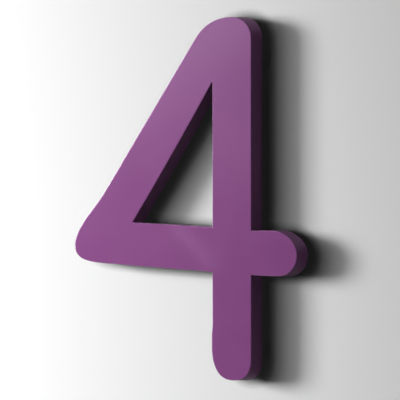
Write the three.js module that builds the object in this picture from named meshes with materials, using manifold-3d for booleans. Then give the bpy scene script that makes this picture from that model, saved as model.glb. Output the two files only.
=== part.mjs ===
// A house number for an outside wall: a large numeral 4 cut from thick foamed PVC board and painted,
// standing off the wall on four concealed fixings. Each fixing is a brass insert pressed into the back of
// the numeral, a stainless stud screwed into it, a nylon spacer on the stud, and a nylon plug in the wall
// that grips the stud.
//
// Millimetres. +Z is up, +X is to the right of someone who faces the number, and +Y points into the wall.
// The wall's face is the plane y = 0, and the numeral's middle is at x = 0, z = 0.
import * as THREE from "three";
import { mergeVertices } from "three/addons/utils/BufferGeometryUtils.js";
import Module from "manifold-3d";

const wasm = await Module();
wasm.setup();

// Driving dimensions of the numeral.
const numeralHeight = 300;
const numeralWidth = 211;
const boardThickness = 19;
const strokeWidth = 37;
const armReach = 43.5; // how far the crossbar stands out past the stem
const edgeRound = 0.8; // eased edge round the face and the back

// Driving dimensions of the fixings.
const wallGap = 12; // clear space behind the numeral, which is the spacers' length
const studRadius = 2.5; // M5 thread, over its crests
const studLength = 60;
const studInNumeral = 11.5;
const insertRadius = 3.5;
const insertLength = 9.5;
const spacerRadius = 6;
const plugRadius = 4;
const plugLength = 40;
const plugSetback = 2.5; // the plug is pushed in until its mouth is this far below the wall's face
const clearance = 0.3; // left between pieces that touch

const curveSteps = 12;
const roundSteps = 24;

// The numeral's extremes and its upright stem.
const right = numeralWidth / 2;
const left = -right;
const top = numeralHeight / 2;
const bottom = -top;
const stemRight = right - armReach;
const stemLeft = stemRight - strokeWidth;
const stemMiddle = (stemLeft + stemRight) / 2;

// The head, where the diagonal runs up into the stem: a wide round on the left, a tighter one on the right.
const headRadius = 40;
const shoulderRadius = 17;
const headFlat = 3.35;
const shoulder = new THREE.Vector2(stemRight - shoulderRadius, top - shoulderRadius);
const head = new THREE.Vector2(shoulder.x - headFlat, top - headRadius);

// The diagonal's outer edge leans over by this angle and is tangent to the head's wide round.
const lean = THREE.MathUtils.degToRad(34.1);
const diagonalTop = new THREE.Vector2(
  head.x - headRadius * Math.cos(lean),
  head.y + headRadius * Math.sin(lean),
);
const flareTop = 5; // height at which that edge starts to flare out towards the corner
const flareStart = new THREE.Vector2(
  diagonalTop.x - (diagonalTop.y - flareTop) * Math.tan(lean),
  flareTop,
);

// The crossbar drops a little from left to right.
const cornerHeight = -38; // where the left-hand corner reaches furthest left
const undersideStart = new THREE.Vector2(left + 29, -53.3);
const undersideSlope = -0.0705;
const undersideAt = (x) => undersideStart.y + undersideSlope * (x - undersideStart.x);
const armTop = -26.2;
const armTipHeight = -46.5; // where the crossbar's end reaches furthest right
const armBottom = -64;
const footRound = 17; // height of the tighter round on the foot's right
const footSweep = 28; // height of the longer round on its left
const footSwell = 0.65; // how far the foot's left side stands out past the stem's
const swellStart = 37; // height at which that side starts to run back in
const swellEnd = 47; // height at which it meets the stem's left side

// The three corners of the hole that the strokes enclose. Its sloping side bows a little into the hole.
const counterPeak = new THREE.Vector2(stemLeft, 96.6);
const counterLeft = new THREE.Vector2(left + 54.8, -19.5);
const counterRight = new THREE.Vector2(stemLeft, -23.3);
const counterBow = 1.4;

// Where the fixings are, behind the numeral.
const fixings = {
  top: { x: stemMiddle, z: 118 },
  corner: { x: left + 30.5, z: -31 },
  arm: { x: right - 21.5, z: -45 },
  foot: { x: stemMiddle, z: -122 },
};

function material(colour, roughness, metalness) {
  return new THREE.MeshStandardMaterial({ color: colour, roughness, metalness });
}

const satinPaint = material(0x8a5487, 0.42, 0);
const brass = material(0xb58d4a, 0.35, 1);
const stainless = material(0xb9bcbe, 0.3, 1);
const blackNylon = material(0x222224, 0.55, 0);
const greyNylon = material(0x8f9294, 0.6, 0);

// A geometry's surface as a solid that can be cut and joined.
function solidOf(geometry) {
  const bare = geometry.clone();
  bare.deleteAttribute("normal");
  bare.deleteAttribute("uv");
  const merged = mergeVertices(bare, 1e-4);
  return new wasm.Manifold(
    new wasm.Mesh({
      numProp: 3,
      vertProperties: new Float32Array(merged.attributes.position.array),
      triVerts: new Uint32Array(merged.index.array),
    }),
  );
}

function geometryOf(solid) {
  const mesh = solid.getMesh();
  const geometry = new THREE.BufferGeometry();
  geometry.setAttribute("position", new THREE.BufferAttribute(mesh.vertProperties, 3));
  geometry.setIndex(new THREE.BufferAttribute(mesh.triVerts, 1));
  geometry.computeVertexNormals();
  return geometry;
}

// A body of revolution about the Y axis, from a profile of [radius, y] pairs.
function turned(profile) {
  const points = profile.map(([radius, y]) => new THREE.Vector2(radius, y));
  return new THREE.LatheGeometry(points, roundSteps);
}

// The outline of the numeral's strokes, drawn clockwise from the left end of its flat top.
function outline() {
  const footLeft = stemLeft - footSwell;
  const shape = new THREE.Shape();
  shape.moveTo(head.x, top);
  shape.lineTo(shoulder.x, top);
  shape.absarc(shoulder.x, shoulder.y, shoulderRadius, Math.PI / 2, 0, true);
  shape.lineTo(stemRight, armTop);
  shape.lineTo(right - 23, armTop);
  shape.bezierCurveTo(right - 14, armTop, right, armTipHeight + 12, right, armTipHeight);
  shape.bezierCurveTo(right, armTipHeight - 10, right - 7.5, armBottom, right - 17, armBottom);
  shape.quadraticCurveTo(right - 30, armBottom, stemRight, armBottom + 1);
  shape.lineTo(stemRight, bottom + footRound);
  shape.bezierCurveTo(stemRight, bottom + 7, stemRight - 5, bottom, stemRight - 15, bottom);
  shape.lineTo(stemLeft + 19.5, bottom);
  shape.bezierCurveTo(stemLeft + 6, bottom, footLeft, bottom + 11.5, footLeft, bottom + footSweep);
  shape.lineTo(footLeft, bottom + swellStart);
  shape.bezierCurveTo(
    footLeft,
    bottom + swellStart + 4,
    stemLeft,
    bottom + swellEnd - 4,
    stemLeft,
    bottom + swellEnd,
  );
  shape.lineTo(stemLeft, undersideAt(stemLeft));
  shape.lineTo(undersideStart.x, undersideStart.y);
  shape.bezierCurveTo(left + 9.5, undersideAt(left + 9.5), left, cornerHeight - 11.2, left, cornerHeight);
  shape.bezierCurveTo(
    left,
    cornerHeight + 14,
    flareStart.x - 15 * Math.sin(lean),
    flareStart.y - 15 * Math.cos(lean),
    flareStart.x,
    flareStart.y,
  );
  shape.lineTo(diagonalTop.x, diagonalTop.y);
  shape.absarc(head.x, head.y, headRadius, Math.PI - lean, Math.PI / 2, true);
  return shape;
}

function counter() {
  const path = new THREE.Path();
  path.moveTo(counterRight.x, counterRight.y);
  path.lineTo(counterPeak.x, counterPeak.y);
  path.quadraticCurveTo(
    (counterPeak.x + counterLeft.x) / 2 + counterBow * Math.cos(lean),
    (counterPeak.y + counterLeft.y) / 2 - counterBow * Math.sin(lean),
    counterLeft.x,
    counterLeft.y,
  );
  path.lineTo(counterRight.x, counterRight.y);
  return path;
}

// The blind hole that takes an insert, drilled from the back.
function insertPocket({ x, z }) {
  const depth = studInNumeral + 1;
  const drill = new THREE.CylinderGeometry(
    insertRadius + clearance,
    insertRadius + clearance,
    depth + 1,
    roundSteps,
  );
  drill.translate(x, -wallGap - depth + (depth + 1) / 2, z);
  return solidOf(drill);
}

function numeral() {
  const shape = outline();
  shape.holes.push(counter());
  const board = new THREE.ExtrudeGeometry(shape, {
    depth: boardThickness - 2 * edgeRound,
    curveSegments: curveSteps,
    bevelThickness: edgeRound,
    bevelSize: edgeRound,
    bevelOffset: -edgeRound,
    bevelSegments: 2,
  });
  // The shape is drawn flat and stood up, so that its depth runs forwards from the wall.
  board.rotateX(Math.PI / 2);
  board.translate(0, -wallGap - edgeRound, 0);
  let solid = solidOf(board);
  for (const place of Object.values(fixings)) {
    solid = solid.subtract(insertPocket(place));
  }
  return geometryOf(solid);
}

// Two knurled bands with a plain groove between them, and a plain lead-in at the inner end.
function insert() {
  const mouth = -wallGap - clearance;
  const end = mouth - insertLength;
  const bore = studRadius + clearance;
  const groove = insertRadius - 0.45;
  const band = insertLength * 0.34;
  return turned([
    [bore, end],
    [groove, end],
    [groove, end + 1.2],
    [insertRadius, end + 1.5],
    [insertRadius, end + 1.5 + band],
    [groove, end + 1.8 + band],
    [groove, mouth - 0.3 - band],
    [insertRadius, mouth - band],
    [insertRadius, mouth],
    [bore, mouth],
    [bore, end],
  ]);
}

function stud() {
  const start = -wallGap - studInNumeral;
  const end = start + studLength;
  const chamfer = 0.8;
  return turned([
    [0, start],
    [studRadius - chamfer, start],
    [studRadius, start + chamfer],
    [studRadius, end - chamfer],
    [studRadius - chamfer, end],
    [0, end],
  ]);
}

// A plain sleeve. Its rear ring is the flat that bears on the wall.
function spacer() {
  const front = -wallGap + clearance;
  const bore = studRadius + clearance;
  const chamfer = 0.6;
  return turned([
    [bore, front],
    [spacerRadius - chamfer, front],
    [spacerRadius, front + chamfer],
    [spacerRadius, -chamfer],
    [spacerRadius - chamfer, 0],
    [bore, 0],
    [bore, front],
  ]);
}

// A barbed sleeve, split from its tip so that its two legs can spread, with a fin on each side that stops it
// turning.
function wallPlug() {
  const mouth = plugSetback;
  const tip = mouth + plugLength;
  const bore = studRadius + clearance;
  const collar = 9;
  const barbs = 5;
  const barbPitch = 5;
  const barbDepth = 0.55;
  const boreEnd = tip - 4;
  const profile = [
    [bore, mouth],
    [plugRadius, mouth],
  ];
  for (let barb = 0; barb < barbs; barb += 1) {
    const start = mouth + collar + barb * barbPitch;
    profile.push([plugRadius, start]);
    profile.push([plugRadius - barbDepth, start + 0.4]);
  }
  profile.push([plugRadius, mouth + collar + barbs * barbPitch]);
  profile.push([plugRadius - 1.4, tip]);
  profile.push([0, tip]);
  profile.push([0, boreEnd]);
  profile.push([bore, boreEnd - 1.5]);
  profile.push([bore, mouth]);

  const slotWidth = 0.9;
  const slotLength = plugLength - collar + 1;
  const slot = new THREE.BoxGeometry(slotWidth, slotLength + 1, 4 * plugRadius);
  slot.translate(0, tip - slotLength / 2 + 0.5, 0);

  const fin = new THREE.BoxGeometry(1.2, collar - 2, 2 * plugRadius + 2.4);
  fin.translate(0, mouth + 1 + (collar - 2) / 2, 0);
  const bored = turned([
    [0, mouth - 1],
    [bore, mouth - 1],
    [bore, mouth + collar],
    [0, mouth + collar],
  ]);
  const fins = solidOf(fin).subtract(solidOf(bored));
  return geometryOf(solidOf(turned(profile)).add(fins).subtract(solidOf(slot)));
}

function named(name, geometry, look) {
  const mesh = new THREE.Mesh(geometry, look);
  mesh.name = name;
  return mesh;
}

// One fixing: what goes into the numeral, what spans the gap and what stays in the wall, on one axis.
function fixing(name, { x, z }) {
  const group = new THREE.Group();
  group.add(named(`threaded_insert_${name}`, insert(), brass));
  group.add(named(`stud_${name}`, stud(), stainless));
  group.add(named(`spacer_${name}`, spacer(), blackNylon));
  group.add(named(`wall_plug_${name}`, wallPlug(), greyNylon));
  group.position.set(x, 0, z);
  return group;
}

const houseNumber = new THREE.Group();
houseNumber.add(named("numeral_four", numeral(), satinPaint));
for (const [name, place] of Object.entries(fixings)) {
  houseNumber.add(fixing(name, place));
}

export default houseNumber;
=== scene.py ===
import math

import bmesh
import bpy
from mathutils import Matrix, Vector
from mathutils.geometry import tessellate_polygon


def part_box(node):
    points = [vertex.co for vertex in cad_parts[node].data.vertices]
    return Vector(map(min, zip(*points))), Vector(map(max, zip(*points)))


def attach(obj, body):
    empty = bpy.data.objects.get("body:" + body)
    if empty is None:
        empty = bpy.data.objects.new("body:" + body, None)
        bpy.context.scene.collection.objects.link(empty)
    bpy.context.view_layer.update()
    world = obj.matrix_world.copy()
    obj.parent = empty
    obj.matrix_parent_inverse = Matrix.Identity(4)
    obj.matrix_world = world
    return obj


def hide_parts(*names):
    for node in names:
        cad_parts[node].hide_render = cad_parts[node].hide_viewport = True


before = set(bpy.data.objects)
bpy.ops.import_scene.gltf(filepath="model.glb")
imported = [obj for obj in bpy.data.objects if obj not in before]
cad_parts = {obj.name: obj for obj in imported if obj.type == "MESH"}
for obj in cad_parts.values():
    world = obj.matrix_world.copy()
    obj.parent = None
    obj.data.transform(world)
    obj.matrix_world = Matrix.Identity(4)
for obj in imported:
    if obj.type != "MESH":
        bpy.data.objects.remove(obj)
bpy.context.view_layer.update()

MM = 0.001
NUMERAL_BODY = "numeral"
WALL_BODY = "wall_fixings"
FIXINGS = ("top", "corner", "arm", "foot")

# The numeral's box gives its extremes, and every stud's box gives the axis of its fixing.
numeral_low, numeral_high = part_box("numeral_four")
LEFT, RIGHT = numeral_low.x, numeral_high.x
BOTTOM, TOP = numeral_low.z, numeral_high.z
FRONT, BACK = numeral_low.y, numeral_high.y

# The driving dimensions that no box gives.
ARM_REACH = 43.5 * MM
STROKE_WIDTH = 37 * MM
EDGE_ROUND = 0.8 * MM
LEAN = math.radians(34.1)
STUD_BORE = 2.8 * MM
STEM_RIGHT = RIGHT - ARM_REACH
STEM_LEFT = STEM_RIGHT - STROKE_WIDTH

# The camera looks level, from this many degrees to the right of the numeral's front.
CAMERA_AZIMUTH = 29.5
ORIGIN = (0, 0, 0)


# ---------------------------------------------------------------- outlines

class Pen:
    """Draws a closed outline in the plane of the numeral's face, as (x, z) points."""

    def __init__(self, x, z):
        self.points = [Vector((x, z))]

    def line(self, x, z):
        self.add(Vector((x, z)))

    def add(self, point):
        if (point - self.points[-1]).length > 1e-7:
            self.points.append(point)

    def arc(self, x, z, radius, start, stop, steps=40):
        for step in range(steps + 1):
            angle = start + (stop - start) * step / steps
            self.add(Vector((x + radius * math.cos(angle), z + radius * math.sin(angle))))

    def curve(self, first, second, end, steps=36):
        start, first, second, end = self.points[-1].copy(), Vector(first), Vector(second), Vector(end)
        for step in range(1, steps + 1):
            t = step / steps
            s = 1 - t
            self.add(s**3 * start + 3 * s * s * t * first + 3 * s * t * t * second + t**3 * end)

    def closed(self):
        if (self.points[0] - self.points[-1]).length < 1e-7:
            self.points.pop()
        return self.points


def numeral_outline():
    """The outer edge of the strokes, from the left end of the flat top round by the right."""
    shoulder_radius = 17 * MM
    head_radius = 40 * MM
    head_flat = 3.35 * MM
    shoulder = Vector((STEM_RIGHT - shoulder_radius, TOP - shoulder_radius))
    head = Vector((shoulder.x - head_flat, TOP - head_radius))
    diagonal_top = head + head_radius * Vector((-math.cos(LEAN), math.sin(LEAN)))
    flare = Vector((0, 5 * MM))
    flare.x = diagonal_top.x - (diagonal_top.y - flare.y) * math.tan(LEAN)
    corner = Vector((LEFT, -38 * MM))
    underside = Vector((LEFT + 29 * MM, -53.3 * MM))
    slope = -0.0705
    arm_top = -26.2 * MM
    arm_tip = -46.5 * MM
    arm_bottom = -64 * MM
    foot_swell = 0.65 * MM
    foot_left = STEM_LEFT - foot_swell
    foot_round = 17 * MM
    foot_sweep = 28 * MM
    swell_start = 37 * MM
    swell_end = 47 * MM
    flare_handle = 15 * MM

    def underside_at(x):
        return underside.y + slope * (x - underside.x)

    pen = Pen(head.x, TOP)
    pen.line(shoulder.x, TOP)
    pen.arc(shoulder.x, shoulder.y, shoulder_radius, math.pi / 2, 0)
    pen.line(STEM_RIGHT, arm_top)
    pen.line(RIGHT - 23 * MM, arm_top)
    pen.curve((RIGHT - 14 * MM, arm_top), (RIGHT, arm_tip + 12 * MM), (RIGHT, arm_tip))
    pen.curve(
        (RIGHT, arm_tip - 10 * MM),
        (RIGHT - 7.5 * MM, arm_bottom),
        (RIGHT - 17 * MM, arm_bottom),
    )
    # A quadratic stretch, written as the cubic that it equals.
    dip_start = Vector((RIGHT - 17 * MM, arm_bottom))
    dip_end = Vector((STEM_RIGHT, arm_bottom + 1 * MM))
    dip = Vector((RIGHT - 30 * MM, arm_bottom))
    pen.curve(dip_start.lerp(dip, 2 / 3), dip_end.lerp(dip, 2 / 3), dip_end)
    pen.line(STEM_RIGHT, BOTTOM + foot_round)
    pen.curve(
        (STEM_RIGHT, BOTTOM + 7 * MM),
        (STEM_RIGHT - 5 * MM, BOTTOM),
        (STEM_RIGHT - 15 * MM, BOTTOM),
    )
    pen.line(STEM_LEFT + 19.5 * MM, BOTTOM)
    pen.curve(
        (STEM_LEFT + 6 * MM, BOTTOM),
        (foot_left, BOTTOM + 11.5 * MM),
        (foot_left, BOTTOM + foot_sweep),
    )
    pen.line(foot_left, BOTTOM + swell_start)
    pen.curve(
        (foot_left, BOTTOM + swell_start + 4 * MM),
        (STEM_LEFT, BOTTOM + swell_end - 4 * MM),
        (STEM_LEFT, BOTTOM + swell_end),
    )
    pen.line(STEM_LEFT, underside_at(STEM_LEFT))
    pen.line(underside.x, underside.y)
    pen.curve(
        (LEFT + 9.5 * MM, underside_at(LEFT + 9.5 * MM)),
        (LEFT, corner.y - 11.2 * MM),
        (LEFT, corner.y),
    )
    handle = flare_handle * Vector((math.sin(LEAN), math.cos(LEAN)))
    pen.curve((LEFT, corner.y + 14 * MM), flare - handle, flare)
    pen.line(diagonal_top.x, diagonal_top.y)
    pen.arc(head.x, head.y, head_radius, math.pi - LEAN, math.pi / 2)
    return pen.closed()


def counter_outline():
    """The triangular opening between the strokes. Its sloping side bows a little inwards."""
    peak = Vector((STEM_LEFT, 96.6 * MM))
    low_left = Vector((LEFT + 54.8 * MM, -19.5 * MM))
    low_right = Vector((STEM_LEFT, -23.3 * MM))
    bow_depth = 1.4 * MM
    bow = (peak + low_left) / 2 + bow_depth * Vector((math.cos(LEAN), -math.sin(LEAN)))
    pen = Pen(low_right.x, low_right.y)
    pen.line(peak.x, peak.y)
    pen.curve(peak.lerp(bow, 2 / 3), low_left.lerp(bow, 2 / 3), low_left)
    return pen.closed()


def circle_outline(centre, radius, steps=48):
    pen = Pen(centre.x + radius, centre.y)
    pen.arc(centre.x, centre.y, radius, 0, 2 * math.pi, steps)
    return pen.closed()


def square_outline(reach):
    corners = ((-reach, -reach), (reach, -reach), (reach, reach), (-reach, reach))
    return [Vector(corner) for corner in corners]


def signed_area(points):
    """The outline's area, which is negative where it runs clockwise."""
    total = 0
    for here, there in zip(points, points[1:] + points[:1]):
        total += here.x * there.y - there.x * here.y
    return total / 2


def inset(points, distance, solid_inside):
    """The outline moved by distance into the material, which lies inside it or, for a hole, outside it."""
    turn = 1 if (signed_area(points) > 0) == solid_inside else -1
    moved = []
    count = len(points)
    for index, point in enumerate(points):
        before = (point - points[index - 1]).normalized()
        after = (points[(index + 1) % count] - point).normalized()
        normal_before = turn * Vector((-before.y, before.x))
        normal_after = turn * Vector((-after.y, after.x))
        mitre = (normal_before + normal_after) / (1 + normal_before.dot(normal_after))
        moved.append(point + distance * mitre)
    return moved


# ---------------------------------------------------------------- meshes

def fixing_axis(name):
    low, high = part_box(f"stud_{name}")
    return Vector(((low.x + high.x) / 2, (low.z + high.z) / 2))


def add_ring(bm, points, y):
    """A ring of vertices with this outline, at depth y."""
    return [bm.verts.new((point.x, y, point.y)) for point in points]


def join_rings(bm, first, second):
    count = len(first)
    for index in range(count):
        following = (index + 1) % count
        bm.faces.new((first[index], first[following], second[following], second[index]))


def add_cap(bm, rings):
    """A flat face between an outer ring and the rings of its holes."""
    verts = [vert for ring in rings for vert in ring]
    loops = [[vert.co.copy() for vert in ring] for ring in rings]
    for triangle in tessellate_polygon(loops):
        bm.faces.new([verts[index] for index in triangle])


def mark_creases(bm, angle=math.radians(28)):
    """Shades the mesh smooth, with sharp edges where two faces meet at more than this angle."""
    bmesh.ops.recalc_face_normals(bm, faces=bm.faces)
    for face in bm.faces:
        face.smooth = True
    for edge in bm.edges:
        if len(edge.link_faces) != 2 or edge.calc_face_angle() > angle:
            edge.smooth = False


def mesh_from(bm, name):
    mesh = bpy.data.meshes.new(name)
    bm.to_mesh(mesh)
    bm.free()
    return mesh


def place(name, mesh, material, location=(0, 0, 0)):
    piece = bpy.data.objects.new(name, mesh)
    bpy.context.scene.collection.objects.link(piece)
    piece.location = location
    if not mesh.materials:
        mesh.materials.append(material)
    return piece


def edge_profile(steps):
    """Pairs of (inset, y): over the back's eased edge, along the side and over the front's eased edge."""
    pairs = []
    for step in range(steps + 1):
        angle = math.pi / 2 * step / steps
        pairs.append((EDGE_ROUND * (1 - math.sin(angle)), BACK - EDGE_ROUND * (1 - math.cos(angle))))
    for step in range(steps + 1):
        angle = math.pi / 2 * step / steps
        pairs.append((EDGE_ROUND * (1 - math.cos(angle)), FRONT + EDGE_ROUND * (1 - math.sin(angle))))
    return pairs


def numeral_mesh():
    """The board with its eased edges, its opening and the four blind pockets in its back."""
    bm = bmesh.new()
    back_rings = []
    front_rings = []
    for points, solid_inside in ((numeral_outline(), True), (counter_outline(), False)):
        previous = None
        for distance, y in edge_profile(6):
            ring = add_ring(bm, inset(points, distance, solid_inside), y)
            if previous:
                join_rings(bm, previous, ring)
            else:
                back_rings.append(ring)
            previous = ring
        front_rings.append(previous)
    pocket_radius = 3.8 * MM
    pocket_depth = 12.5 * MM
    for name in FIXINGS:
        centre = fixing_axis(name)
        mouth = add_ring(bm, circle_outline(centre, pocket_radius), BACK)
        floor = add_ring(bm, circle_outline(centre, pocket_radius), BACK - pocket_depth)
        join_rings(bm, mouth, floor)
        add_cap(bm, [floor])
        back_rings.append(mouth)
    add_cap(bm, back_rings)
    add_cap(bm, front_rings)
    mark_creases(bm)
    flat_within = 0.001
    for edge in bm.edges:
        slopes = [abs(face.normal.y) for face in edge.link_faces]
        flats = [slope < flat_within or slope > 1 - flat_within for slope in slopes]
        if any(flats) and not all(flats):
            edge.smooth = False
    return mesh_from(bm, "numeral_body")


def turned_mesh(name, profile, segments=64, finish=None):
    """A body of revolution about the Y axis. Its (radius, y) pairs end on the axis or where they began."""
    bm = bmesh.new()
    rings = []
    for radius, y in profile:
        if radius < 1e-9:
            rings.append([bm.verts.new((0, y, 0))])
            continue
        ring = []
        for step in range(segments):
            angle = 2 * math.pi * step / segments
            ring.append(bm.verts.new((radius * math.cos(angle), y, radius * math.sin(angle))))
        rings.append(ring)
    for first, second in zip(rings, rings[1:]):
        if len(first) == 1 and len(second) == 1:
            continue
        if len(first) == 1 or len(second) == 1:
            centre, ring = (first, second) if len(first) == 1 else (second, first)
            for step in range(segments):
                bm.faces.new((centre[0], ring[step], ring[(step + 1) % segments]))
        else:
            join_rings(bm, first, second)
    bmesh.ops.remove_doubles(bm, verts=bm.verts, dist=1e-7)
    if finish:
        finish(bm)
    mark_creases(bm)
    return mesh_from(bm, name)


def round_corner(profile, corner, before, after, radius, steps=4):
    """Adds to profile a rounded corner, between the straight that comes from before and the one to after."""
    corner, before, after = Vector(corner), Vector(before), Vector(after)
    start = corner + (before - corner).normalized() * radius
    end = corner + (after - corner).normalized() * radius
    for step in range(steps + 1):
        t = step / steps
        point = (1 - t) ** 2 * start + 2 * t * (1 - t) * corner + t * t * end
        profile.append((point.x, point.y))


def insert_mesh():
    """A press-in insert: two straight-knurled bands, a groove between them and a plain lead-in."""
    low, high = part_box("threaded_insert_top")
    inner, mouth = low.y, high.y
    band_radius = (high.x - low.x) / 2
    groove = band_radius - 0.45 * MM
    shoulder = band_radius - 0.1 * MM
    bevel = 0.15 * MM
    band = (mouth - inner) * 0.34
    lead = inner + 1.2 * MM
    teeth = 36
    tooth_depth = 0.14 * MM
    steps_per_tooth = 4
    profile = [
        (STUD_BORE, inner + 2 * bevel),
        (STUD_BORE + 2 * bevel, inner),
        (groove - bevel, inner),
        (groove, inner + bevel),
        (groove, lead),
        (shoulder, lead + 2 * bevel),
        (band_radius, lead + 3 * bevel),
        (band_radius, lead + bevel + band),
        (shoulder, lead + 2 * bevel + band),
        (groove, lead + 4 * bevel + band),
        (groove, mouth - band - 2 * bevel),
        (shoulder, mouth - band),
        (band_radius, mouth - band + bevel),
        (band_radius, mouth - bevel),
        (shoulder, mouth),
        (STUD_BORE + 2 * bevel, mouth),
        (STUD_BORE, mouth - 2 * bevel),
        (STUD_BORE, inner + 2 * bevel),
    ]

    def cut_knurl(bm):
        for vert in bm.verts:
            radius = math.hypot(vert.co.x, vert.co.z)
            if radius < (shoulder + band_radius) / 2:
                continue
            angle = math.atan2(vert.co.z, vert.co.x)
            depth = tooth_depth * (1 - abs(math.sin(angle * teeth / 2)))
            scale = (radius - depth) / radius
            vert.co.x *= scale
            vert.co.z *= scale

    return turned_mesh("threaded_insert", profile, teeth * steps_per_tooth, cut_knurl)


def stud_mesh():
    """A threaded rod. Its rows follow the helix, so that its crests are sharp, and fade out at both ends."""
    low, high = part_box("stud_top")
    start, end = low.y, high.y
    crest = (high.x - low.x) / 2
    pitch = 0.8 * MM
    thread_depth = 0.61 * pitch
    root = crest - thread_depth
    end_radius = root - 0.25 * MM
    columns = 32
    profile = ((0.0, root), (0.125, root), (0.4375, crest), (0.5625, crest))
    rows = []
    turns = math.ceil((end - start) / pitch) + 2
    for turn in range(-1, turns):
        for share, radius in profile:
            rows.append((start + (turn + share) * pitch, radius))

    def thread_vert(bm, row, column):
        y, radius = rows[row]
        y += pitch * column / columns
        y = min(max(y, start), end)
        chamfer = end_radius + min(y - start, end - y)
        radius = min(radius, chamfer)
        angle = 2 * math.pi * column / columns
        return bm.verts.new((radius * math.cos(angle), y, radius * math.sin(angle)))

    bm = bmesh.new()
    grid = [[thread_vert(bm, row, column) for row in range(len(rows))] for column in range(columns)]
    per_turn = len(profile)
    for column in range(columns):
        wraps = column == columns - 1
        there = grid[0] if wraps else grid[column + 1]
        shift = per_turn if wraps else 0
        for row in range(len(rows) - 1 - shift):
            bm.faces.new(
                (
                    grid[column][row],
                    grid[column][row + 1],
                    there[row + 1 + shift],
                    there[row + shift],
                )
            )
    bmesh.ops.remove_doubles(bm, verts=bm.verts, dist=1e-7)
    bmesh.ops.dissolve_degenerate(bm, edges=bm.edges, dist=1e-7)
    open_edges = [edge for edge in bm.edges if edge.is_boundary]
    bmesh.ops.holes_fill(bm, edges=open_edges, sides=0)
    mark_creases(bm)
    return mesh_from(bm, "stud")


def spacer_mesh():
    """A moulded sleeve with rounded rims."""
    low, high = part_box("spacer_top")
    front, rear = low.y, high.y
    outer = (high.x - low.x) / 2
    rim = 0.5 * MM
    bore_rim = 0.25 * MM
    rim_steps = 6
    profile = []
    round_corner(profile, (STUD_BORE, front), (STUD_BORE, rear), (outer, front), bore_rim)
    round_corner(profile, (outer, front), (STUD_BORE, front), (outer, rear), rim, rim_steps)
    round_corner(profile, (outer, rear), (outer, front), (STUD_BORE, rear), rim, rim_steps)
    round_corner(profile, (STUD_BORE, rear), (outer, rear), (STUD_BORE, front), bore_rim)
    profile.append(profile[0])
    return turned_mesh("spacer", profile, 96)


def cut(target, tool, operation):
    """Applies a boolean of two objects and leaves only the target."""
    modifier = target.modifiers.new("cut", "BOOLEAN")
    modifier.object = tool
    modifier.operation = operation
    modifier.solver = "EXACT"
    bpy.context.view_layer.update()
    made = bpy.data.meshes.new_from_object(target.evaluated_get(bpy.context.evaluated_depsgraph_get()))
    target.modifiers.clear()
    target.data = made
    bpy.data.objects.remove(tool)


def box_object(name, low, high):
    bm = bmesh.new()
    bmesh.ops.create_cube(bm, size=1)
    middle = (Vector(low) + Vector(high)) / 2
    size = Vector(high) - Vector(low)
    for vert in bm.verts:
        vert.co = Vector(a * b + c for a, b, c in zip(vert.co, size, middle))
    tool = bpy.data.objects.new(name, mesh_from(bm, name))
    bpy.context.scene.collection.objects.link(tool)
    return tool


def plug_mesh():
    """A barbed sleeve, split from its tip into two legs, with a fin above and below that stops it turning."""
    low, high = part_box("wall_plug_top")
    mouth, tip = low.y, high.y
    outer = (high.x - low.x) / 2
    fin_reach = (high.z - low.z) / 2
    collar = 9 * MM
    barbs = 5
    barb_pitch = 5 * MM
    barb_depth = 0.55 * MM
    barb_edge = outer - 0.1 * MM
    entry = mouth + 0.4 * MM
    profile = [
        (STUD_BORE, entry),
        (STUD_BORE + 0.3 * MM, mouth),
        (outer - 0.2 * MM, mouth),
        (outer, mouth + 0.2 * MM),
    ]
    for barb in range(barbs):
        start = mouth + collar + barb * barb_pitch
        profile.append((outer, start - 0.15 * MM))
        profile.append((barb_edge, start))
        profile.append((outer - barb_depth, start + 0.3 * MM))
        profile.append((outer - barb_depth, start + 1.2 * MM))
    last = mouth + collar + barbs * barb_pitch
    profile.append((outer, last - 0.3 * MM))
    profile.append((barb_edge, last))
    profile.append((outer - 1.35 * MM, tip - 0.4 * MM))
    profile.append((outer - 1.8 * MM, tip))
    profile.append((0, tip))
    profile.append((0, tip - 4 * MM))
    profile.append((STUD_BORE, tip - 5.5 * MM))
    profile.append((STUD_BORE, entry))
    plug = bpy.data.objects.new("plug_maker", turned_mesh("wall_plug", profile, 64))
    bpy.context.scene.collection.objects.link(plug)
    fin_half = 0.6 * MM
    fin_root = STUD_BORE + 0.6 * MM
    for side in (-1, 1):
        ends = sorted((side * fin_root, side * fin_reach))
        fin = box_object(
            "fin",
            (-fin_half, mouth + 1 * MM, ends[0]),
            (fin_half, mouth + collar - 1 * MM, ends[1]),
        )
        cut(plug, fin, "UNION")
    slot_half = 0.45 * MM
    slot = box_object(
        "slot",
        (-slot_half, mouth + collar - 1 * MM, -2 * outer),
        (slot_half, tip + 1 * MM, 2 * outer),
    )
    cut(plug, slot, "DIFFERENCE")
    bm = bmesh.new()
    bm.from_mesh(plug.data)
    mark_creases(bm)
    bpy.data.objects.remove(plug)
    return mesh_from(bm, "wall_plug")


# ---------------------------------------------------------------- materials

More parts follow.
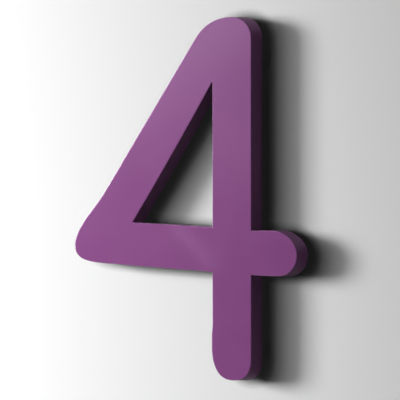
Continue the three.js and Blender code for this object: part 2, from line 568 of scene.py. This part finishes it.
class Nodes:
    """A material's node tree, with short calls to add and join nodes."""

    def __init__(self, name):
        self.material = bpy.data.materials.new(name)
        self.material.use_nodes = True
        self.tree = self.material.node_tree
        self.shader = self.tree.nodes["Principled BSDF"]
        self.place = self.tree.nodes.new("ShaderNodeTexCoord")

    def node(self, kind, **settings):
        made = self.tree.nodes.new(kind)
        for key, value in settings.items():
            setattr(made, key, value)
        return made

    def join(self, source, target):
        self.tree.links.new(source, target)

    def noise(self, scale, detail=3.0, roughness=0.5, stretch=(1, 1, 1)):
        """Noise in the object's own space, stretched along its axes. Its output runs from 0 to 1."""
        mapping = self.node("ShaderNodeMapping")
        mapping.inputs["Scale"].default_value = stretch
        self.join(self.place.outputs["Object"], mapping.inputs["Vector"])
        texture = self.node("ShaderNodeTexNoise")
        texture.inputs["Scale"].default_value = scale
        texture.inputs["Detail"].default_value = detail
        texture.inputs["Roughness"].default_value = roughness
        self.join(mapping.outputs["Vector"], texture.inputs["Vector"])
        return texture.outputs["Fac"]

    def ranged(self, value, low, high, to_low, to_high):
        """Value, with the stretch from low to high mapped to the one from to_low to to_high."""
        mapped = self.node("ShaderNodeMapRange")
        mapped.inputs["From Min"].default_value = low
        mapped.inputs["From Max"].default_value = high
        mapped.inputs["To Min"].default_value = to_low
        mapped.inputs["To Max"].default_value = to_high
        self.join(value, mapped.inputs["Value"])
        return mapped.outputs["Result"]

    def mixed(self, share, first, second):
        """A colour between two colours, each a tuple or an output."""
        mix = self.node("ShaderNodeMix", data_type="RGBA")
        self.join(share, mix.inputs["Factor"])
        for socket, colour in ((mix.inputs["A"], first), (mix.inputs["B"], second)):
            if isinstance(colour, tuple):
                socket.default_value = (*colour, 1)
            else:
                self.join(colour, socket)
        return mix.outputs["Result"]

    def maths(self, operation, first, second):
        """The result of a maths operation on two values, each a number or an output."""
        made = self.node("ShaderNodeMath", operation=operation)
        for socket, value in zip(made.inputs, (first, second)):
            if isinstance(value, (int, float)):
                socket.default_value = value
            else:
                self.join(value, socket)
        return made.outputs["Value"]

    def bumped(self, height, distance, strength=1.0, under=None):
        bump = self.node("ShaderNodeBump")
        bump.inputs["Distance"].default_value = distance
        bump.inputs["Strength"].default_value = strength
        self.join(height, bump.inputs["Height"])
        if under:
            self.join(under, bump.inputs["Normal"])
        return bump.outputs["Normal"]

    def use(self, **links):
        """Joins outputs to the shader's inputs, named with _ for a space, and gives back the material."""
        for key, output in links.items():
            self.join(output, self.shader.inputs[key.replace("_", " ")])
        return self.material


def facing(nodes):
    """Two outputs: 1 on the face and the back and 0 on the sides, and the same with -1 on the face."""
    split = nodes.node("ShaderNodeSeparateXYZ")
    nodes.join(nodes.place.outputs["Normal"], split.inputs["Vector"])
    return nodes.maths("ABSOLUTE", split.outputs["Y"], 0), split.outputs["Y"]


def satin_paint():
    """Sprayed satin paint with a fine orange peel. The eased edges are a lighter lilac, partly worn paint and
    partly a painted highlight. The sides, with the cutter's marks, are a greyer purple: a painted reflection
    where the paint lies thin.
    """
    nodes = Nodes("satin_purple_paint")
    flatness, forward = facing(nodes)
    clouds = nodes.ranged(nodes.noise(9, detail=2), 0.3, 0.7, 0, 1)
    colour = nodes.mixed(clouds, (0.212, 0.054, 0.205), (0.226, 0.059, 0.217))
    rear = nodes.ranged(forward, 0.5, 0.9, 0, 1)
    speckle = nodes.ranged(nodes.noise(1400, detail=2), 0.5, 0.75, 0, 0.5)
    colour = nodes.mixed(nodes.maths("MULTIPLY", rear, speckle), colour, (0.36, 0.17, 0.34))
    # The sides are painted a greyer purple: a painted reflection, where the paint lies thin over the cutter's
    # marks.
    side = nodes.ranged(flatness, 0.05, 0.5, 1, 0)
    colour = nodes.mixed(side, colour, (0.232, 0.083, 0.222))
    # The eased edges are painted a lighter lilac: partly worn paint, partly a painted highlight.
    off_side = nodes.ranged(flatness, 0.05, 0.2, 0, 1)
    off_flat = nodes.ranged(flatness, 0.94, 0.992, 1, 0)
    rubbed = nodes.ranged(nodes.noise(160, detail=4), 0.3, 0.6, 0.5, 1)
    edge = nodes.maths("MULTIPLY", nodes.maths("MULTIPLY", off_side, off_flat), rubbed)
    colour = nodes.mixed(edge, colour, (0.3, 0.12, 0.3))
    haze = nodes.ranged(nodes.noise(55, detail=4), 0.3, 0.7, 0.285, 0.325)
    roughness = nodes.maths("ADD", haze, nodes.maths("MULTIPLY", rear, 0.2))
    roughness = nodes.maths("SUBTRACT", roughness, nodes.maths("MULTIPLY", edge, 0.06))
    peel = nodes.noise(620, detail=2, roughness=0.4)
    grain = nodes.noise(1900, detail=3)
    marks = nodes.noise(1100, detail=2, stretch=(1, 0.02, 1))
    milled = nodes.maths("MULTIPLY", side, nodes.maths("ADD", marks, grain))
    normal = nodes.bumped(peel, 0.012 * MM, 0.6)
    normal = nodes.bumped(milled, 0.02 * MM, 0.5, under=normal)
    nodes.shader.inputs["Specular IOR Level"].default_value = 0.35
    nodes.shader.inputs["Specular Tint"].default_value = (1, 0.66, 1, 1)
    return nodes.use(Base_Color=colour, Roughness=roughness, Normal=normal)


def brass():
    """Turned brass, with tarnish in patches."""
    nodes = Nodes("turned_brass")
    patches = nodes.ranged(nodes.noise(420, detail=5), 0.35, 0.7, 0, 1)
    colour = nodes.mixed(patches, (0.75, 0.53, 0.22), (0.5, 0.33, 0.14))
    roughness = nodes.ranged(patches, 0, 1, 0.24, 0.42)
    rings = nodes.noise(900, detail=2, stretch=(0.04, 6, 0.04))
    nodes.shader.inputs["Metallic"].default_value = 1
    return nodes.use(Base_Color=colour, Roughness=roughness, Normal=nodes.bumped(rings, 0.01 * MM))


def stainless():
    """Rolled stainless thread: bright crests, roots painted dark as shade, and fine drawn lines along the
    rod.
    """
    nodes = Nodes("rolled_stainless")
    split = nodes.node("ShaderNodeSeparateXYZ")
    nodes.join(nodes.place.outputs["Object"], split.inputs["Vector"])
    squares = [nodes.maths("MULTIPLY", split.outputs[axis], split.outputs[axis]) for axis in ("X", "Z")]
    radius = nodes.maths("SQRT", nodes.maths("ADD", *squares), 0)
    # Darker towards the thread's roots: painted shade in the grooves.
    crest = nodes.ranged(radius, 2.05 * MM, 2.48 * MM, 0, 1)
    colour = nodes.mixed(crest, (0.2, 0.2, 0.205), (0.62, 0.63, 0.64))
    scuffs = nodes.noise(800, detail=4, stretch=(1, 0.15, 1))
    roughness = nodes.ranged(scuffs, 0.3, 0.7, 0.2, 0.4)
    nodes.shader.inputs["Metallic"].default_value = 1
    return nodes.use(Base_Color=colour, Roughness=roughness, Normal=nodes.bumped(scuffs, 0.006 * MM))


def moulded_nylon(name, dark, light, shine):
    """Moulded nylon: a spark-eroded grain, faint flow marks and rubbed patches."""
    nodes = Nodes(name)
    flow = nodes.noise(260, detail=3, stretch=(1, 0.3, 1))
    colour = nodes.mixed(nodes.ranged(flow, 0.3, 0.7, 0, 1), dark, light)
    rubbed = nodes.noise(500, detail=4)
    roughness = nodes.ranged(rubbed, 0.3, 0.7, shine, shine + 0.16)
    grain = nodes.noise(3800, detail=2)
    return nodes.use(Base_Color=colour, Roughness=roughness, Normal=nodes.bumped(grain, 0.01 * MM, 0.7))


# ---------------------------------------------------------------- the object

def build_numeral():
    """The painted numeral. It throws no bounced light, so that the wall behind it stays grey."""
    piece = place("numeral_body", numeral_mesh(), satin_paint())
    piece.visible_diffuse = False
    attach(piece, NUMERAL_BODY)
    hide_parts("numeral_four")


def build_fixings():
    """One copy of each hidden piece on each of the four axes. Gives back all the pieces."""
    kinds = (
        ("threaded_insert", insert_mesh(), brass(), NUMERAL_BODY, "insert_brass"),
        ("stud", stud_mesh(), stainless(), NUMERAL_BODY, "stud_stainless"),
        (
            "spacer",
            spacer_mesh(),
            moulded_nylon("black_nylon", (0.012, 0.012, 0.013), (0.022, 0.022, 0.023), 0.38),
            NUMERAL_BODY,
            "spacer_nylon",
        ),
        (
            "wall_plug",
            plug_mesh(),
            moulded_nylon("grey_nylon", (0.25, 0.26, 0.27), (0.34, 0.35, 0.36), 0.42),
            WALL_BODY,
            "plug_nylon",
        ),
    )
    pieces = []
    for kind, mesh, material, body, slot in kinds:
        for name in FIXINGS:
            axis = fixing_axis(name)
            piece = place(f"{kind}_{name}_detail", mesh, material, (axis.x, 0, axis.y))
            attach(piece, body)
            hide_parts(f"{kind}_{name}")
            pieces.append(piece)
    return pieces


# ---------------------------------------------------------------- the stage

def wall_material():
    """Matt white, one-sided: it can't be seen from behind, and the rear lights shine through it.

    Light passes through only to what the camera sees at once, so the gap behind the numeral stays dark.
    The numeral sees the wall darker than the camera does, for the same reason. Close behind the numeral
    the wall's colour is darkened further, a painted contact shadow.
    """
    white = (0.8, 0.8, 0.8)
    bounced = (0.49, 0.49, 0.49)
    reflected = (0.2, 0.2, 0.2)
    painted_shadow_reach = 14.8 * MM
    darkest_painted_shadow = 0.78
    nodes = Nodes("wall_paint")
    path = nodes.node("ShaderNodeLightPath")
    painted_shadow = nodes.node("ShaderNodeAmbientOcclusion")
    painted_shadow.samples = 32
    painted_shadow.inputs["Distance"].default_value = painted_shadow_reach
    # Painted contact shadow: the wall's colour runs to black where the numeral and its fixings are close.
    shaded = nodes.ranged(painted_shadow.outputs["AO"], darkest_painted_shadow, 1, 0, 1)
    colour = nodes.mixed(shaded, (0, 0, 0), white)
    colour = nodes.mixed(path.outputs["Is Diffuse Ray"], colour, bounced)
    colour = nodes.mixed(path.outputs["Is Glossy Ray"], colour, reflected)
    nodes.join(colour, nodes.shader.inputs["Base Color"])
    nodes.shader.inputs["Roughness"].default_value = 0.95
    nodes.shader.inputs["Specular IOR Level"].default_value = 0.1
    # The wall glows faintly in white: painted light that lifts its darkest shadows.
    nodes.shader.inputs["Emission Color"].default_value = (1, 1, 1, 1)
    nodes.shader.inputs["Emission Strength"].default_value = 0.008
    geometry = nodes.node("ShaderNodeNewGeometry")
    clear = nodes.node("ShaderNodeBsdfTransparent")
    mix = nodes.node("ShaderNodeMixShader")
    first_hit = nodes.maths("LESS_THAN", path.outputs["Ray Depth"], 1.5)
    lets_light_in = nodes.maths("MULTIPLY", path.outputs["Is Shadow Ray"], first_hit)
    from_behind = nodes.maths("MULTIPLY", geometry.outputs["Backfacing"], first_hit)
    see_through = nodes.maths("MAXIMUM", from_behind, lets_light_in)
    nodes.join(see_through, mix.inputs["Fac"])
    nodes.join(nodes.shader.outputs["BSDF"], mix.inputs[1])
    nodes.join(clear.outputs["BSDF"], mix.inputs[2])
    nodes.join(mix.outputs["Shader"], nodes.tree.nodes["Material Output"].inputs["Surface"])
    return nodes.material


def floor_material():
    """Matt and pale, with a little light of its own, because the lamps are aimed at the wall."""
    nodes = Nodes("floor_paint")
    nodes.shader.inputs["Base Color"].default_value = (0.7, 0.7, 0.7, 1)
    nodes.shader.inputs["Roughness"].default_value = 0.95
    nodes.shader.inputs["Emission Color"].default_value = (1, 1, 1, 1)
    nodes.shader.inputs["Emission Strength"].default_value = 0.45
    return nodes.material


def build_wall():
    """A plain wall with the four drilled holes that the plugs sit in."""
    reach = 4.0
    hole_radius = 4.15 * MM
    lining = 6 * MM
    setback = 0.2 * MM
    bm = bmesh.new()
    rings = [add_ring(bm, square_outline(reach), 0)]
    for name in FIXINGS:
        points = circle_outline(fixing_axis(name), hole_radius)
        mouth = add_ring(bm, points, 0)
        rings.append(mouth)
        join_rings(bm, mouth, add_ring(bm, points, lining))
    add_cap(bm, rings)
    bmesh.ops.recalc_face_normals(bm, faces=bm.faces)
    largest = max(bm.faces, key=lambda face: face.calc_area())
    if largest.normal.y > 0:
        bmesh.ops.reverse_faces(bm, faces=bm.faces)
    wall = place("wall", mesh_from(bm, "wall"), wall_material(), (0, setback, 0))


def build_floor():
    """A plain floor below the numeral. It throws no light up at the wall."""
    reach = 12.0
    drop = 0.6
    bm = bmesh.new()
    bm.faces.new([bm.verts.new((corner.x, corner.y, 0)) for corner in square_outline(reach)])
    floor = place("floor", mesh_from(bm, "floor"), floor_material(), (0, 0, BOTTOM - drop))
    floor.visible_diffuse = False


def aim(thing, target):
    thing.rotation_euler = (Vector(target) - thing.location).to_track_quat("-Z", "Y").to_euler()


def direction(azimuth, elevation):
    """A unit vector from the object towards a light, azimuth degrees to the left of the wall's normal."""
    azimuth, elevation = math.radians(azimuth), math.radians(elevation)
    level = math.cos(elevation)
    return Vector((-math.sin(azimuth) * level, -math.cos(azimuth) * level, math.sin(elevation)))


def area_light(name, location, target, size, energy, spread=180, lights=("diffuse", "glossy")):
    """A rectangular lamp. It lights by its own samples alone, as bounced rays pass through the numeral."""
    data = bpy.data.lights.new(name, "AREA")
    data.shape = "RECTANGLE"
    data.size, data.size_y = size
    data.energy = energy
    data.spread = math.radians(spread)
    data.cycles.use_multiple_importance_sampling = False
    lamp = bpy.data.objects.new(name, data)
    bpy.context.scene.collection.objects.link(lamp)
    lamp.location = location
    aim(lamp, target)
    lamp.visible_camera = False
    lamp.visible_diffuse = "diffuse" in lights
    lamp.visible_glossy = "glossy" in lights
    return lamp


def sheen_panel(name, seen_at, distance, size, tilt, power):
    """A panel that only gloss shows. The camera sees it mirrored in the face around the point seen_at."""
    mirrored = direction(CAMERA_AZIMUTH, 0)
    level = Vector((-mirrored.y, mirrored.x, 0))
    tilt = math.radians(tilt)
    along = math.cos(tilt) * level + math.sin(tilt) * Vector((0, 0, 1))
    middle = Vector((seen_at[0], FRONT, seen_at[1])) + distance * mirrored
    lamp = area_light(name, middle, middle - mirrored, size, power, lights=("glossy",))
    lamp.rotation_euler = Matrix((along, mirrored.cross(along), mirrored)).transposed().to_euler()


def build_bank():
    """A curved bank of narrow upright panels, bright on the left and dim towards the front.

    Every panel is turned away to the left by the same angle, so that its light falls off to the right.
    """
    distance = 3.0
    elevation = 6
    turned_away = 28
    turned_up = 4
    panel_step = 4
    panel_height = 0.86
    spread = 81
    bright_power = 9.7
    dim_power = 1.65
    bright_from = 40
    gloss_from = 48
    width = distance * math.radians(panel_step) / math.cos(math.radians(turned_away))
    for azimuth in range(-2, 60, panel_step):
        power = bright_power if azimuth > bright_from else dim_power * (0.35 + azimuth / 36)
        seen_by = ("diffuse", "glossy") if azimuth > gloss_from else ("diffuse",)
        position = distance * direction(azimuth, elevation)
        axis = -direction(azimuth - turned_away, elevation + turned_up)
        target = position + axis
        area_light(f"panel_{azimuth}", position, target, (width, panel_height), power, spread, seen_by)


def build_gloss():
    """The lamps that only gloss shows: three sheens on the face, and a thin light on the left-hand edges."""
    sheen_panel("sheen_head", (-0.014, 0.176), 0.25, (0.4, 0.15), 38, 0.88)
    sheen_panel("sheen_arm", (0.007, -0.038), 0.055, (0.05, 0.004), -43, 0.0035)
    sheen_panel("sheen_stem", (0.052, 0.05), 0.25, (0.06, 0.06), 0, 0.03)
    area_light("rim", direction(68, 12), ORIGIN, (0.4, 0.6), 17, lights=("glossy",))


def build_rear_light(fixings):
    """The lamps for the views from the side and behind. The last one lights the fixings and nothing else."""
    area_light("rear_side", (-1.0, 0.7, 0.6), ORIGIN, (0.8, 0.8), 8)
    area_light("rear_top", (0.05, 0.2, 1.2), ORIGIN, (0.5, 0.3), 2, lights=("diffuse",))
    area_light("rear_low", (0.05, 0.2, -1.2), ORIGIN, (0.5, 0.3), 2, lights=("diffuse",))
    lit = bpy.data.collections.new("lit_fixings")
    for piece in fixings:
        lit.objects.link(piece)
    fixing_fill = area_light("fixing_fill", (1.0, 0, 0.6), ORIGIN, (0.6, 0.6), 10)
    fixing_fill.light_linking.receiver_collection = lit


def build_world():
    """Pale where the camera sees it, and almost dark as a light."""
    as_light = (0.006, 0.006, 0.006)
    as_seen = (0.75, 0.75, 0.75)
    world = bpy.data.worlds.new("studio")
    bpy.context.scene.world = world
    world.use_nodes = True
    tree = world.node_tree
    path = tree.nodes.new("ShaderNodeLightPath")
    mix = tree.nodes.new("ShaderNodeMix")
    mix.data_type = "RGBA"
    mix.inputs["A"].default_value = (*as_light, 1)
    mix.inputs["B"].default_value = (*as_seen, 1)
    tree.links.new(path.outputs["Is Camera Ray"], mix.inputs["Factor"])
    tree.links.new(mix.outputs["Result"], tree.nodes["Background"].inputs["Color"])


def build_camera():
    """A level view from a little to the right, without perspective."""
    picture_over_numeral = 1.1011
    distance = 1.2
    shift_right = 11.7 * MM
    shift_down = 1.0 * MM
    azimuth = math.radians(CAMERA_AZIMUTH)
    back = Vector((math.sin(azimuth), -math.cos(azimuth), 0))
    across = Vector((math.cos(azimuth), math.sin(azimuth), 0))
    data = bpy.data.cameras.new("camera")
    data.type = "ORTHO"
    data.ortho_scale = picture_over_numeral * (TOP - BOTTOM)
    camera = bpy.data.objects.new("camera", data)
    bpy.context.scene.collection.objects.link(camera)
    centre = Vector((0, FRONT, -shift_down)) + across * shift_right
    camera.location = centre + back * distance
    aim(camera, centre)
    bpy.context.scene.camera = camera


build_camera()
build_numeral()
fixing_pieces = build_fixings()
build_wall()
build_floor()
build_bank()
build_gloss()
build_rear_light(fixing_pieces)
build_world()
bpy.context.scene.view_settings.view_transform = "Standard"
